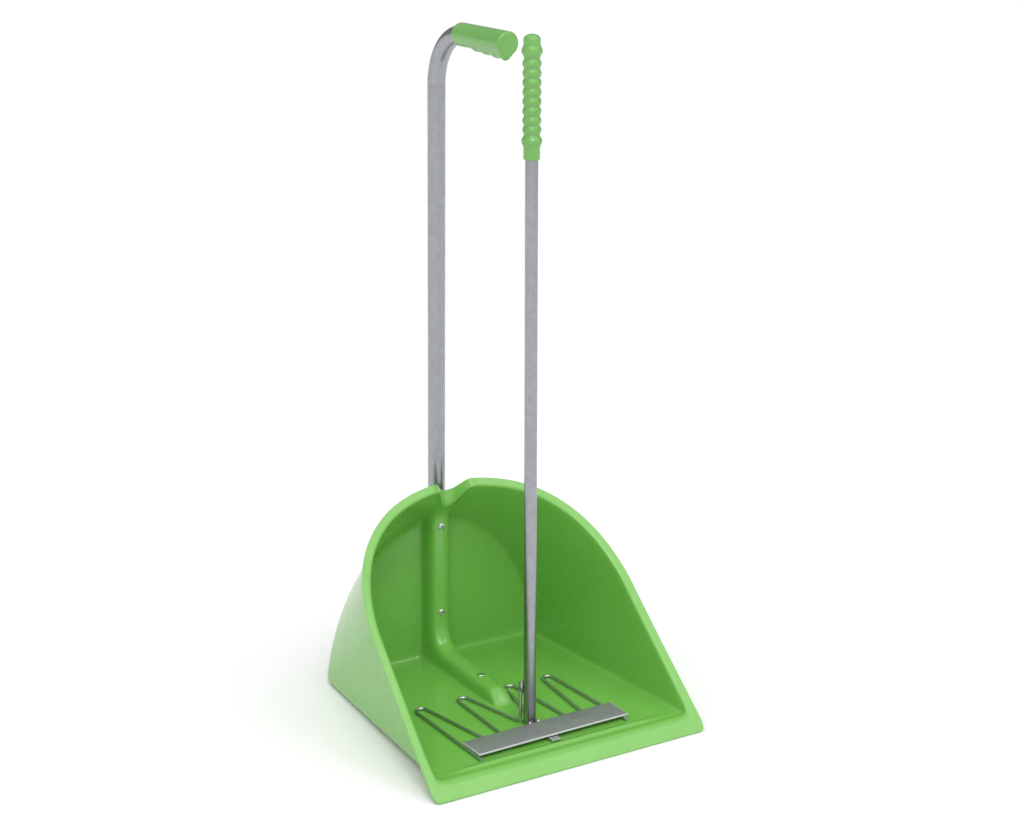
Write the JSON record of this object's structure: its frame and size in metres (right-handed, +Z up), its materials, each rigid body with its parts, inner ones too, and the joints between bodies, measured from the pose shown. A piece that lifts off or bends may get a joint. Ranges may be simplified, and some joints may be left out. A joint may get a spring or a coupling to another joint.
{
  "type": "stable scoop and rake set",
  "caption": "Free-standing moulded scoop with a bent tube handle and pistol grip, and a short rake with a scraper blade and wire loops resting in the pan.",
  "frame": {"origin": "middle of the bounding box, on the surface the set stands on", "axes": "+Z up along the handle, -Y out of the pan's open front, +X to the right seen from the front"},
  "size_m": [0.3766, 0.3566, 0.8404],
  "materials": {
    "pan_plastic": "gloss",
    "grip_plastic": "semi-gloss",
    "zinc_tube": "satin galvanised",
    "zinc_wire": "satin galvanised",
    "blade_steel": "brushed lengthwise",
    "weld_steel": "rough",
    "rivet_aluminium": "satin",
    "rivet_steel": "dull",
    "plug_plastic": "matte"
  },
  "bodies": {
    "scoop": {"pan": "pan_plastic", "handle_tube": "zinc_tube", "handle_grip": "grip_plastic", "foot_plug": "plug_plastic", "rivet_upper": "rivet_aluminium", "rivet_lower": "rivet_aluminium", "rivet_foot": "rivet_aluminium", "rivet_upper_pin": "rivet_steel", "rivet_lower_pin": "rivet_steel", "rivet_foot_pin": "rivet_steel"},
    "rake": {"rake_tube": "zinc_tube", "rake_grip": "grip_plastic", "scraper_blade": "blade_steel", "foot_strap": "zinc_wire", "prong_wire_left": "zinc_wire", "prong_wire_right": "zinc_wire", "leg_weld_left": "weld_steel", "leg_weld_right": "weld_steel", "foot_weld_left": "weld_steel", "foot_weld_right": "weld_steel"}
  },
  "joints": [
    {"name": "rake_lift", "type": "slide", "parent": "scoop", "child": "rake", "axis": [0, 0, 1], "range_m": [0, 0.3]}
  ]
}
